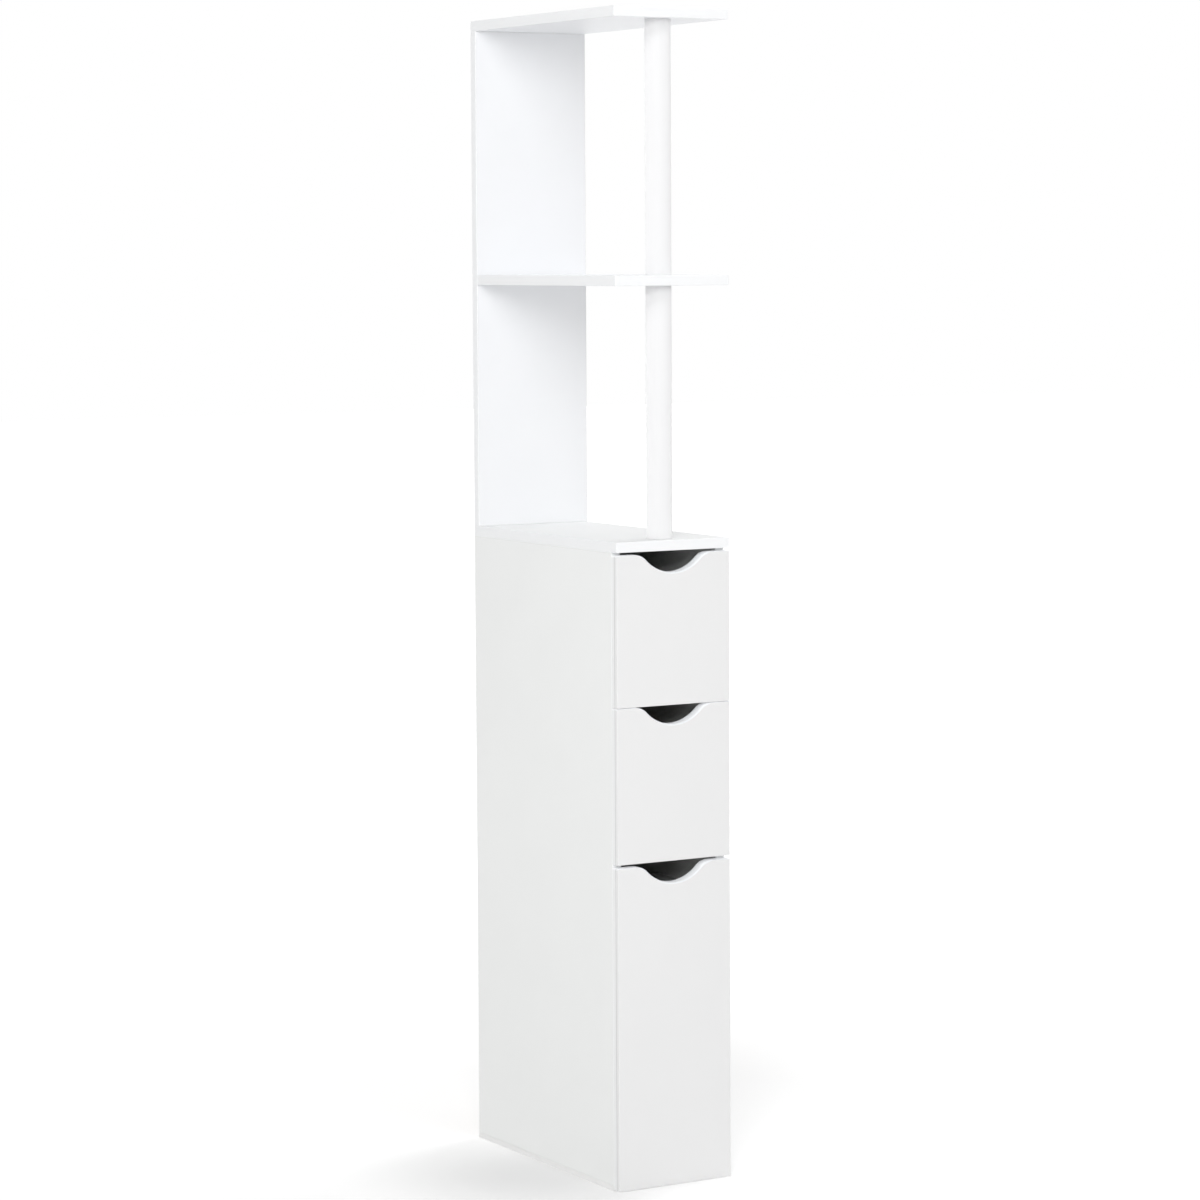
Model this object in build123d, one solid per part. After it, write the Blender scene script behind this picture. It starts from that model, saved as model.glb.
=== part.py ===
from build123d import *
from math import asin, atan, cos, degrees, pi, sin
import os

# A slim free-standing bathroom cabinet, in millimetres.
# Three drawers are stacked below an open tower of two shelves on a rear panel and a round pole.
# X runs across the fronts, Y from the front to the back, Z up.
# The origin is in the middle of the base, on the floor.

# Boards, sheets and outer sizes
cabinet_width = 152.0
cabinet_depth = 338.0
board = 12.0
front_thickness = 12.0
drawer_board = 12.0
sheet = 3.0
edge_break = 0.5
overcut = 1.0

# Heights of the stack of fronts, from the floor up
floor_gap = 1.5
lower_front_height = 378.5
lower_reveal = 2.4
middle_front_height = 180.0
upper_reveal = 1.2
upper_front_height = 176.0
top_reveal = 2.4

# Open bays of the tower
lower_bay_height = 291.0
upper_bay_height = 291.0

# Carcass
front_air = 0.5
foot_height = 6.0
foot_peg_radius = 2.5
foot_peg_length = 9.0
foot_peg_count = 3
foot_peg_margin = 75.0
rail_depth = 60.0
rail_rise = 1.0
back_inset = 14.0
sheet_groove = 5.0
sheet_edge_air = 0.5
sheet_play = 0.3

# Round pole
pole_diameter = 30.0
pole_setback = 31.0
pole_edge = 0.6

# Finger cut in the top edge of each front: a bowl between two shoulders
wave_width = 102.0
wave_depth = 21.5
bowl_radius = 50.0

# Drawer boxes and their travel
box_side_air = 0.8
box_lift = 4.0
box_rear_air = 19.0
hand_room = 15.0
bottom_rise = 8.0
box_round = 2.0
drawer_travel = 200.0

# Plastic runners on the cabinet sides and the grooves that hang on them
runner_height = 15.0
runner_proud = 5.0
runner_set_back = 6.0
runner_rear_gap = 7.0
nose_proud = 7.5
nose_length = 12.0
nose_ramp = 4.0
carry_air = 0.3
under_air = 0.5
groove_air = 0.4
stop_air = 0.3

# Cam and bolt fittings
cam_radius = 7.5
cam_pocket_depth = 9.5
cam_height = 9.0
cam_sink = 0.2
cam_setback = 24.0
cam_inset = 46.5
cam_sides = 12
cam_play = 0.15
bolt_thread_radius = 3.0
bolt_thread_length = 9.0
bolt_neck_radius = 2.0
bolt_head_radius = 3.0
bolt_head_length = 5.0
bolt_room = 0.6
bolt_hole_radius = 3.5

# Dowels and screws, which are drawn with flat sides like the holes that they sit in
fitting_sides = 6
dowel_radius = 3.0
dowel_shallow = 8.0
dowel_deep = 16.0
dowel_inset = 16.5
fit_play = 0.1
screw_head_radius = 4.0
screw_head_height = 2.5
screw_shank_radius = 2.5
screw_length = 45.0
screw_inset = 31.0
box_screw_length = 40.0
box_screw_head_radius = 3.6
box_screw_shank_radius = 2.0
small_screw_length = 14.0
small_screw_head_radius = 3.0
small_screw_head_height = 1.6
small_screw_shank_radius = 1.6
small_screw_inset = 26.0
runner_screw_count = 2
runner_screw_margin = 48.0
box_fitting_low = 30.0
box_fitting_high = 25.0
pole_stud_radius = 3.0
pole_stud_grip = 28.0
pole_dowel_radius = 4.0
pole_dowel_shallow = 8.0
pole_dowel_deep = 14.0

# Levels and planes that follow from the sizes above
half_width = cabinet_width / 2
inner_half = half_width - board
front_face = -cabinet_depth / 2
rear_face = cabinet_depth / 2
front_back = front_face + front_thickness
carcass_front = front_back + front_air
lower_front_bottom = floor_gap
lower_front_top = lower_front_bottom + lower_front_height
middle_front_bottom = lower_front_top + lower_reveal
middle_front_top = middle_front_bottom + middle_front_height
upper_front_bottom = middle_front_top + upper_reveal
upper_front_top = upper_front_bottom + upper_front_height
side_top = upper_front_top + top_reveal
cabinet_top = side_top + board
middle_shelf_bottom = cabinet_top + lower_bay_height
middle_shelf_top = middle_shelf_bottom + board
top_shelf_bottom = middle_shelf_top + upper_bay_height
top_shelf_top = top_shelf_bottom + board
bottom_panel_top = foot_height + board
lower_rail_bottom = middle_front_bottom + rail_rise
upper_rail_bottom = upper_front_bottom + rail_rise
rear_panel_front = rear_face - board
back_rear = rear_face - back_inset
back_front = back_rear - sheet
pole_centre = front_face + pole_setback
box_outer_half = inner_half - box_side_air
box_inner_half = box_outer_half - drawer_board
box_rear = back_front - box_rear_air
runner_front = carcass_front + runner_set_back
runner_rear = back_front - runner_rear_gap

# Each drawer: name, level that it runs above, bottom and top of its front
drawers = [
    ("upper", upper_rail_bottom + board, upper_front_bottom, upper_front_top),
    ("middle", lower_rail_bottom + board, middle_front_bottom, middle_front_top),
    ("lower", bottom_panel_top, lower_front_bottom, lower_front_top),
]

# Pockets that the fittings need in each board, and the fittings themselves
pockets = {}
pieces = {}


def add_pocket(node, tool):
    """Keep a cutting solid for the board of that name."""
    pockets.setdefault(node, []).append(tool)


def add_piece(node, solid):
    """Put a solid in the node of that name."""
    pieces.setdefault(node, []).append(solid)


def block(x, y, z):
    """A right-angled solid between the low and high value on each axis."""
    middle = Pos((x[0] + x[1]) / 2, (y[0] + y[1]) / 2, (z[0] + z[1]) / 2)
    return middle * Box(x[1] - x[0], y[1] - y[0], z[1] - z[0])


def rod(start, direction, radius, length, sides=fitting_sides):
    """A straight bar with flat sides from a point, along a direction."""
    frame = Plane(origin=start, z_dir=direction)
    return frame.location * extrude(RegularPolygon(radius, sides), length)


def stepped(start, direction, outline):
    """A bar with flat sides that changes in girth: radius and distance pairs from the start."""
    frame = Plane(origin=start, z_dir=direction)
    bar = None
    for (radius, distance), (next_radius, next_distance) in zip(outline, outline[1:]):
        length = next_distance - distance
        if length > 0:
            lean = degrees(atan((radius - next_radius) * cos(pi / fitting_sides) / length))
            part = Pos(0, 0, distance) * extrude(RegularPolygon(radius, fitting_sides), length, taper=lean)
            bar = part if bar is None else bar + part
    return frame.location * bar


def turned(start, direction, outline):
    """A turned solid: the outline is radius and distance pairs from the start along the direction."""
    closed = [(0, outline[0][1])] + outline + [(0, outline[-1][1])]
    profile = Plane.XZ * make_face(Polyline(*closed, close=True))
    return Plane(origin=start, z_dir=direction).location * revolve(profile, Axis.Z)


def along(point, direction, distance):
    """The point that lies a distance from another in a direction."""
    return tuple(p + d * distance for p, d in zip(point, direction))


def drilled(node, solid):
    """Cut the kept pockets out of a board."""
    for tool in pockets.get(node, []):
        solid = solid - tool
    return solid


def spread(low, high, count):
    """Evenly spaced values from low to high."""
    step = (high - low) / (count - 1)
    return [low + step * i for i in range(count)]


def make_cam(face_point, into_member, outward):
    """A cam disc, sunk a little below the face, with the mouth that takes the bolt head."""
    disc = Pos(0, 0, -cam_sink - cam_height) * extrude(RegularPolygon(cam_radius - cam_play, cam_sides), cam_height)
    mouth_half = bolt_head_radius + bolt_room
    mouth = block((-2 * cam_radius, bolt_head_radius + 2 * bolt_room), (-mouth_half, mouth_half),
                  (-2 * board, mouth_half - board / 2))
    return Plane(origin=face_point, x_dir=into_member, z_dir=outward).location * (disc - mouth)


def cam_joint(group, member, mate, seat, into_member, outward):
    """A bolt screwed in the mate and caught by a cam in the member; the seat is where the boards meet."""
    cam_centre = along(seat, into_member, cam_setback)
    face_point = along(cam_centre, outward, board / 2)
    back = tuple(-c for c in into_member)
    inward = tuple(-c for c in outward)
    head_end = cam_setback + bolt_head_radius
    neck_end = head_end - bolt_head_length
    outline = [
        (bolt_thread_radius, -bolt_thread_length),
        (bolt_thread_radius, -fit_play),
        (bolt_neck_radius, -fit_play),
        (bolt_neck_radius, neck_end),
        (bolt_head_radius, neck_end),
        (bolt_head_radius, head_end),
    ]
    add_piece(group + "_bolts", stepped(seat, into_member, outline))
    add_piece(group + "_cams", make_cam(face_point, into_member, outward))
    add_pocket(mate, rod(seat, back, bolt_thread_radius + fit_play, bolt_thread_length + sheet_play))
    add_pocket(member, rod(seat, into_member, bolt_hole_radius, cam_setback))
    add_pocket(member, rod(face_point, inward, cam_radius, cam_pocket_depth, cam_sides))


def dowel_joint(node, member, mate, seat, into_member, radius, shallow, deep):
    """A wooden dowel across the joint, deeper in the member than in the mate."""
    back = tuple(-c for c in into_member)
    add_piece(node, rod(along(seat, back, shallow), into_member, radius, shallow + deep))
    add_pocket(mate, rod(seat, back, radius + fit_play, shallow + sheet_play))
    add_pocket(member, rod(seat, into_member, radius + fit_play, deep + sheet_play))


def screw_joint(node, first, second, head_point, direction, length, head_radius, shank_radius, head_height):
    """A countersunk screw through the first board into the second, its head flush with the face."""
    outline = [
        (head_radius, fit_play),
        (shank_radius, head_height),
        (shank_radius, length - head_height),
        (shank_radius / 2, length),
    ]
    add_piece(node, stepped(head_point, direction, outline))
    sink = [
        (head_radius + fit_play, 0),
        (shank_radius + fit_play, head_height),
        (shank_radius + fit_play, length + sheet_play),
    ]
    hole = stepped(head_point, direction, sink)
    add_pocket(first, hole)
    add_pocket(second, hole)


def wave_front(bottom, top):
    """A front board with the wave-shaped finger cut in its top edge, all arcs tangent to each other."""
    half = wave_width / 2
    radii = (half ** 2 + wave_depth ** 2) / (2 * wave_depth)
    shoulder = radii - bowl_radius
    turn = asin(half / radii)
    bend_x = bowl_radius * sin(turn)
    bend_z = top - wave_depth + bowl_radius * (1 - cos(turn))
    mid_x = half - shoulder * sin(turn / 2)
    mid_z = top - shoulder * (1 - cos(turn / 2))
    outline = [
        Polyline((-half, top), (-half_width, top), (-half_width, bottom), (half_width, bottom),
                 (half_width, top), (half, top)),
        ThreePointArc((half, top), (mid_x, mid_z), (bend_x, bend_z)),
        ThreePointArc((bend_x, bend_z), (0, top - wave_depth), (-bend_x, bend_z)),
        ThreePointArc((-bend_x, bend_z), (-mid_x, mid_z), (-half, top)),
    ]
    face = Plane.XZ.offset(-front_back) * make_face(outline)
    panel = extrude(face, front_thickness)
    face_edges = panel.faces().sort_by(Axis.Y)[0].edges()
    return chamfer(face_edges, edge_break)


def box_levels(run_level, front_top):
    """Bottom and top of a drawer box, and the middle of its runner."""
    bottom = run_level + box_lift
    top = front_top - wave_depth - hand_room
    return bottom, top, (bottom + top) / 2


def grooved_side(sign, bottom, top, runner_level):
    """A drawer side: a deep groove for the runner's nose, shallow where the stop is, and one for the bottom."""
    outer = sign * box_outer_half
    inner = sign * box_inner_half
    across = sorted((outer, inner))
    side = block(across, (front_back, box_rear), (bottom, top))
    top_edges = side.edges().filter_by(Axis.Y).group_by(Axis.Z)[-1]
    side = fillet(top_edges, box_round)
    low = runner_level - runner_height / 2 - under_air
    high = runner_level + runner_height / 2 + carry_air
    deep = sign * (inner_half - nose_proud - groove_air)
    shallow = sign * (inner_half - runner_proud - groove_air)
    beyond = sign * inner_half
    stop = runner_front + nose_length + drawer_travel + stop_air
    side = side - block(sorted((beyond, deep)), (front_back - overcut, stop), (low, high))
    side = side - block(sorted((beyond, shallow)), (stop - overcut, box_rear + overcut), (low, high))
    sheet_x = sorted((inner - sign * overcut, inner + sign * sheet_groove))
    sheet_z = (bottom + bottom_rise, bottom + bottom_rise + sheet + sheet_play)
    return side - block(sheet_x, (front_back - overcut, box_rear + overcut), sheet_z)


def make_runner(sign, level):
    """A strip with a ramped nose at its front end that stops the open drawer."""
    low = level - runner_height / 2
    high = level + runner_height / 2
    nose_rear = runner_front + nose_length
    points = [
        (inner_half, runner_front),
        (inner_half, runner_rear),
        (inner_half - runner_proud, runner_rear),
        (inner_half - runner_proud, nose_rear),
        (inner_half - nose_proud, nose_rear),
        (inner_half - nose_proud, runner_front + nose_ramp),
        (inner_half - runner_proud, runner_front),
    ]
    outline = [(sign * x, y) for x, y in points]
    face = Pos(0, 0, low) * make_face(Polyline(*outline, close=True))
    return extrude(face, high - low)


def make_drawer(name, run_level, front_bottom, front_top):
    """One drawer: wave front, grooved sides, back, bottom and its fittings."""
    node = name + "_drawer_"
    bottom, top, runner_level = box_levels(run_level, front_top)
    fitting_levels = (bottom + box_fitting_low, top - box_fitting_high)
    sheet_bottom = bottom + bottom_rise
    sheet_top = sheet_bottom + sheet
    groove_half = box_inner_half + sheet_groove
    for word, sign in (("left", -1), ("right", 1)):
        side_node = node + word + "_side"
        middle = sign * (box_outer_half - drawer_board / 2)
        for level in fitting_levels:
            cam_joint(node + "front", side_node, node + "front",
                      (middle, front_back, level), (0, 1, 0), (-sign, 0, 0))
            screw_joint(node + "screws", side_node, node + "back",
                        (sign * box_outer_half, box_rear - drawer_board / 2, level), (-sign, 0, 0),
                        box_screw_length, box_screw_head_radius, box_screw_shank_radius, screw_head_height)
        for x in (-small_screw_inset, small_screw_inset):
            if x * sign > 0:
                screw_joint(node + "bottom_screws", node + "bottom", node + "back",
                            (x, box_rear - drawer_board / 2, sheet_bottom), (0, 0, 1),
                            small_screw_length, small_screw_head_radius,
                            small_screw_shank_radius, small_screw_head_height)
        solid = grooved_side(sign, bottom, top, runner_level)
        add_piece(side_node, drilled(side_node, solid))
        runner_node = name + "_" + word + "_runner"
        for y in spread(runner_front + runner_screw_margin, runner_rear - runner_screw_margin,
                        runner_screw_count):
            screw_joint("runner_screws", runner_node, word + "_side_panel",
                        (sign * (inner_half - runner_proud), y, runner_level), (sign, 0, 0),
                        small_screw_length, small_screw_head_radius,
                        small_screw_shank_radius, small_screw_head_height)
        add_piece(runner_node, drilled(runner_node, make_runner(sign, runner_level)))
    add_pocket(node + "front", block((-groove_half, groove_half), (front_back - sheet_groove, front_back + overcut),
                                     (sheet_bottom, sheet_top + sheet_play)))
    add_piece(node + "front", drilled(node + "front", wave_front(front_bottom, front_top)))
    back = block((-box_inner_half, box_inner_half), (box_rear - drawer_board, box_rear), (sheet_top, top))
    back = fillet(back.edges().filter_by(Axis.X).group_by(Axis.Z)[-1], box_round)
    add_piece(node + "back", drilled(node + "back", back))
    sheet_half = groove_half - sheet_edge_air
    tray = block((-sheet_half, sheet_half), (front_back - sheet_groove + sheet_edge_air, box_rear),
                 (sheet_bottom, sheet_top))
    add_piece(node + "bottom", drilled(node + "bottom", tray))


def board_block(x, y, z):
    """A coated board with all its edges slightly broken."""
    solid = block(x, y, z)
    return chamfer(solid.edges(), edge_break)


def make_foot_strip(word, sign):
    """A plastic strip under a side panel, held by pegs in the board's lower edge."""
    across = sorted((sign * half_width, sign * inner_half))
    strip = block(across, (carcass_front, rear_face), (0, foot_height))
    middle = sign * (half_width - board / 2)
    for y in spread(carcass_front + foot_peg_margin, rear_face - foot_peg_margin, foot_peg_count):
        strip = strip + rod((middle, y, foot_height), (0, 0, 1), foot_peg_radius, foot_peg_length)
        add_pocket(word + "_side_panel", rod((middle, y, foot_height), (0, 0, 1),
                                             foot_peg_radius + fit_play, foot_peg_length + sheet_play))
    add_piece(word + "_foot_strip", strip)


def join_cross_board(node, word, sign, level, front, rear):
    """Cams and dowels at one end of a board that lies between the two side panels."""
    side = word + "_side_panel"
    inward = (-sign, 0, 0)
    for y in (front + cam_inset, rear - cam_inset):
        cam_joint("carcass", node, side, (sign * inner_half, y, level), inward, (0, 0, -1))
    for y in (front + dowel_inset, rear - dowel_inset):
        dowel_joint("carcass_dowels", node, side, (sign * inner_half, y, level), inward,
                    dowel_radius, dowel_shallow, dowel_deep)


def join_rail(node, word, sign, level):
    """One cam between two dowels at each end of a front rail."""
    side = word + "_side_panel"
    inward = (-sign, 0, 0)
    middle = carcass_front + rail_depth / 2
    cam_joint("carcass", node, side, (sign * inner_half, middle, level), inward, (0, 0, -1))
    for y in (middle - dowel_inset, middle + dowel_inset):
        dowel_joint("carcass_dowels", node, side, (sign * inner_half, y, level), inward,
                    dowel_radius, dowel_shallow, dowel_deep)


def join_carcass():
    """All fittings of the carcass and the tower."""
    for word, sign in (("left", -1), ("right", 1)):
        side = word + "_side_panel"
        middle = sign * (half_width - board / 2)
        join_cross_board("bottom_panel", word, sign, foot_height + board / 2, carcass_front, back_front)
        join_rail("lower_rail", word, sign, lower_rail_bottom + board / 2)
        join_rail("upper_rail", word, sign, upper_rail_bottom + board / 2)
        for y in (carcass_front + cam_inset, back_front - cam_inset):
            cam_joint("carcass", side, "top_panel", (middle, y, side_top), (0, 0, -1), (-sign, 0, 0))
        for y in (carcass_front + dowel_inset, back_front - dowel_inset):
            dowel_joint("carcass_dowels", side, "top_panel", (middle, y, side_top), (0, 0, -1),
                        dowel_radius, dowel_shallow, dowel_deep)
        rear_middle = rear_face - board / 2
        cam_joint("carcass", "rear_panel", "top_shelf",
                  (sign * screw_inset, rear_middle, top_shelf_bottom), (0, 0, -1), (0, 1, 0))
        dowel_joint("carcass_dowels", "rear_panel", "top_shelf",
                    (sign * (screw_inset + dowel_inset), rear_middle, top_shelf_bottom), (0, 0, -1),
                    dowel_radius, dowel_shallow, dowel_deep)
        screw_joint("panel_screws", "top_panel", "rear_panel",
                    (sign * screw_inset, rear_middle, side_top), (0, 0, 1), screw_length,
                    screw_head_radius, screw_shank_radius, screw_head_height)
        screw_joint("panel_screws", "rear_panel", "middle_shelf",
                    (sign * screw_inset, rear_face, middle_shelf_bottom + board / 2), (0, -1, 0),
                    screw_length, screw_head_radius, screw_shank_radius, screw_head_height)


def join_pole():
    """A screw from below, a stud through the middle shelf and a dowel in the top shelf."""
    screw_joint("pole_screw", "top_panel", "lower_pole", (0, pole_centre, side_top), (0, 0, 1),
                screw_length, screw_head_radius, screw_shank_radius, screw_head_height)
    length = board + 2 * pole_stud_grip
    start = (0, pole_centre, middle_shelf_bottom - pole_stud_grip)
    up = (0, 0, 1)
    add_piece("pole_stud", rod(start, up, pole_stud_radius, length))
    hole = rod(along(start, up, -sheet_play), up, pole_stud_radius + fit_play, length + 2 * sheet_play)
    for node in ("lower_pole", "middle_shelf", "upper_pole"):
        add_pocket(node, hole)
    dowel_joint("pole_dowel", "upper_pole", "top_shelf", (0, pole_centre, top_shelf_bottom), (0, 0, -1),
                pole_dowel_radius, pole_dowel_shallow, pole_dowel_deep)


def make_pole(node, bottom, top):
    """A turned wooden pole with its two rims broken."""
    outline = [
        (pole_diameter / 2 - pole_edge, 0),
        (pole_diameter / 2, pole_edge),
        (pole_diameter / 2, top - bottom - pole_edge),
        (pole_diameter / 2 - pole_edge, top - bottom),
    ]
    add_piece(node, drilled(node, turned((0, pole_centre, bottom), (0, 0, 1), outline)))


def make_carcass():
    """Side panels, top, bottom, rails and the back sheet in its grooves."""
    slot_y = (back_front - fit_play, back_rear + fit_play)
    for word, sign in (("left", -1), ("right", 1)):
        node = word + "_side_panel"
        make_foot_strip(word, sign)
        across = sorted((sign * half_width, sign * inner_half))
        slot_x = sorted((sign * (inner_half - overcut), sign * (inner_half + sheet_groove)))
        side = board_block(across, (carcass_front, rear_face), (foot_height, side_top))
        side = side - block(slot_x, slot_y, (foot_height + board - sheet_groove, side_top + overcut))
        add_piece(node, drilled(node, side))
    inner = (-inner_half, inner_half)
    full = (-half_width, half_width)
    slot_half = inner_half + sheet_groove
    bottom = block(inner, (carcass_front, rear_face), (foot_height, bottom_panel_top))
    bottom = bottom - block(inner, slot_y, (bottom_panel_top - sheet_groove, bottom_panel_top + overcut))
    add_piece("bottom_panel", drilled("bottom_panel", bottom))
    top = board_block(full, (front_face, rear_face), (side_top, cabinet_top))
    top = top - block((-slot_half, slot_half), slot_y, (side_top - overcut, side_top + sheet_groove))
    add_piece("top_panel", drilled("top_panel", top))
    for node, low in (("lower_rail", lower_rail_bottom), ("upper_rail", upper_rail_bottom)):
        rail = block(inner, (carcass_front, carcass_front + rail_depth), (low, low + board))
        add_piece(node, drilled(node, rail))
    sheet_half = slot_half - sheet_edge_air
    add_piece("cabinet_back", block((-sheet_half, sheet_half), (back_front, back_rear),
                                    (bottom_panel_top - sheet_groove + sheet_edge_air,
                                     side_top + sheet_groove - sheet_edge_air)))


def make_tower():
    """Rear panel, two shelves and the two lengths of the pole."""
    full = (-half_width, half_width)
    rear = board_block(full, (rear_panel_front, rear_face), (cabinet_top, top_shelf_bottom))
    add_piece("rear_panel", drilled("rear_panel", rear))
    middle = board_block(full, (front_face, rear_panel_front), (middle_shelf_bottom, middle_shelf_top))
    add_piece("middle_shelf", drilled("middle_shelf", middle))
    top = board_block(full, (front_face, rear_face), (top_shelf_bottom, top_shelf_top))
    add_piece("top_shelf", drilled("top_shelf", top))
    make_pole("lower_pole", cabinet_top, middle_shelf_bottom)
    make_pole("upper_pole", middle_shelf_top, top_shelf_bottom)


def save_nodes():
    """Write each node as one file, its solids kept apart."""
    for node, solids in pieces.items():
        shape = solids[0] if len(solids) == 1 else Compound(children=solids)
        export_step(shape, "parts/" + node + ".step")


os.makedirs("parts", exist_ok=True)
join_carcass()
join_pole()
for name, run_level, front_bottom, front_top in drawers:
    make_drawer(name, run_level, front_bottom, front_top)
make_carcass()
make_tower()
save_nodes()
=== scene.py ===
"""Looks of a slim white bathroom cabinet: three drawers below an open tower on a rear panel and a pole."""
import math

import bmesh
import bpy
import numpy as np
from mathutils import Matrix, Vector


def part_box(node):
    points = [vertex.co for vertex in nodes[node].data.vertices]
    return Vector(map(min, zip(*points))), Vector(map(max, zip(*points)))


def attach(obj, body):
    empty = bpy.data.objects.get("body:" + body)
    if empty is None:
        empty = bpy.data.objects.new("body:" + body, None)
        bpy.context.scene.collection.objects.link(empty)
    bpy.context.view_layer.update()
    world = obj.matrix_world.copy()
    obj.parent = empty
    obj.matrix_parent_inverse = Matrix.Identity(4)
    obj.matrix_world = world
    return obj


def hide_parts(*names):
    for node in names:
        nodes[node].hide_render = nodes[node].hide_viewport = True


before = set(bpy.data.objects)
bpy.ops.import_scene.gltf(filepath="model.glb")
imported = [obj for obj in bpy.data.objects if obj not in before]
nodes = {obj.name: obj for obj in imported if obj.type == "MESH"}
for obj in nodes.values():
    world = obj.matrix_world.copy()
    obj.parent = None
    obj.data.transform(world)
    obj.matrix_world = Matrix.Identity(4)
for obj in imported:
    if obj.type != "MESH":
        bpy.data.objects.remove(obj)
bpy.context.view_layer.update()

MM = 0.001
WHITE = (1.0, 1.0, 1.0, 1.0)
DRAWERS = ("upper", "middle", "lower")

# Finish of a new mesh: points this close are one, edges this short go, and steeper bends stay sharp
SAME_POINT = 0.001 * MM
NO_LENGTH = 0.0001 * MM
SHARP_ANGLE = math.radians(35)

# Finger cut in the top edge of each front, as in the solids
CUT_WIDTH = 102 * MM
CUT_DEPTH = 21.5 * MM
BOWL_RADIUS = 50 * MM

# Round-over along the cut, along all other edges of a front, and the run from one to the other
CUT_ROUND = 2.0 * MM
SIDE_ROUND = 0.6 * MM
ROUND_RUN = 6 * MM

# Grid of a front: columns beside the cut and over it, rows up the face with the last one close under
# the top edge, and steps of the round-over
SHOULDER_COLUMNS = 9
CUT_COLUMNS = 121
FACE_ROWS = 24
RIM_ROW = 2.4 * MM
ROUND_STEPS = 9

# How far each front's top edge is raised from the solid's, so that the gaps differ as the real ones do
TOP_SHIFT = {"upper": -1.0 * MM, "middle": 0.6 * MM, "lower": -1.5 * MM}

# Seam across the sides of each front: how far behind the face, and how wide
SEAM_DEPTH = 5.4 * MM
SEAM_WIDTH = 1.0 * MM

# Painted light on the routed top edge: how strongly it glows, and how far behind the face it starts
WALL_PAINTED_LIGHT = 0.14
PAINTED_LIGHT_START = 0.5 * MM

# Edge band of the boards, and the hairline of glue beside it
BAND = 0.8 * MM
BAND_BLUR = 0.05 * MM
GLUE_PLACE = 0.9 * MM
GLUE_WIDTH = 0.24 * MM
GLUE_SHARE = 0.35

# Widths of the patterns in the finishes
CLOUD = 90 * MM
FRONT_CLOUD = 77 * MM
CLOUD_LIFT = 1.012
PEARL = 1.6 * MM
RIPPLE = 2 * MM
RIPPLE_LENGTH = 83 * MM
ORANGE_PEEL = 3.3 * MM
FIBRE_FLECK = 3.85 * MM
PLASTIC_FLOW = 25 * MM
SPARK_GRAIN = 0.5 * MM
BEECH_FLECK = 1.1 * MM

# Pole
POLE_RIM = 0.6 * MM
POLE_RIM_STEPS = 6
POLE_ROWS = 30
POLE_STEPS = 96

# Fittings: their solids have flat sides, and a round one inside has this share of the corners' radius
FLAT_SHARE = math.cos(math.pi / 6)
STEPS = 48
ANGLE = np.linspace(0, 2 * math.pi, STEPS, endpoint=False)
ROWS_A_TURN = 5
SAME_PLACE = 0.3 * MM

# Screws
LONG_SCREW = 20 * MM
HEAD_LIFT = 0.09 * MM
HEAD_OVER = 0.12 * MM

# Cam bolts, studs and dowels
BOLT_THREAD = 8.9 * MM
BOLT_HEAD = 5 * MM
BOLT_LEAD = 0.6 * MM
BOLT_PITCH = 1.4 * MM
BOLT_BEVEL = 0.4 * MM
BOLT_RECESS = 0.8 * MM
STUD_BEVEL = 0.8 * MM
STUD_PLAIN = 3 * MM
STUD_PITCH = 1.0 * MM
DOWEL_BEVEL = 1 * MM
FLUTES = 12
FLUTE_DIP = 0.04

# Cams
CAM_RADIUS = 7.2 * MM
CAM_HEIGHT = 9.0 * MM
CAM_PLATE = 2.2 * MM
CAM_WALL = 1.6 * MM
CAM_MOUTH = 3.6 * MM
CAM_BEVEL = 0.4 * MM
CAM_INNER = 6 * MM
CAM_STEPS = 33


# Shared helpers

def linear(hex_colour):
    """An sRGB hex colour as linear red, green, blue and full alpha."""
    channels = np.array([int(hex_colour[i:i + 2], 16) for i in (1, 3, 5)]) / 255
    curve = ((channels + 0.055) / 1.055) ** 2.4
    return tuple(float(c) for c in np.where(channels <= 0.04045, channels / 12.92, curve)) + (1.0,)


def add_node(tree, kind, inputs=None, **settings):
    """Add a node, set its plain settings, and give each input a value or a link from an output."""
    node = tree.nodes.new(kind)
    for name, value in settings.items():
        setattr(node, name, value)
    for key, value in (inputs or {}).items():
        if isinstance(value, bpy.types.NodeSocket):
            tree.links.new(value, node.inputs[key])
        else:
            node.inputs[key].default_value = value
    return node


def new_material(name):
    """A node material with nothing in it but the place on the piece, its tree, and that place."""
    material = bpy.data.materials.new(name)
    material.use_nodes = True
    tree = material.node_tree
    tree.nodes.clear()
    return material, tree, add_node(tree, "ShaderNodeTexCoord").outputs["Object"]


def dress(node, material):
    """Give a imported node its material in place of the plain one."""
    mesh = nodes[node].data
    mesh.materials.clear()
    mesh.materials.append(material)


def grid_faces(rows, columns, wrap=False):
    """Four-sided faces between neighbours of a grid; with wrap the last column meets the first."""
    index = np.arange(rows * columns).reshape(rows, columns)
    if wrap:
        index = np.concatenate([index, index[:, :1]], axis=1)
    corners = [index[:-1, :-1], index[:-1, 1:], index[1:, 1:], index[1:, :-1]]
    return np.stack(corners, axis=-1).reshape(-1, 4)


def joined(parts):
    """Several sets of points and four-sided faces as one."""
    points = np.concatenate([p for p, _ in parts])
    starts = np.cumsum([0] + [len(p) for p, _ in parts[:-1]])
    return points, np.concatenate([faces + start for start, (_, faces) in zip(starts, parts)])


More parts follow.
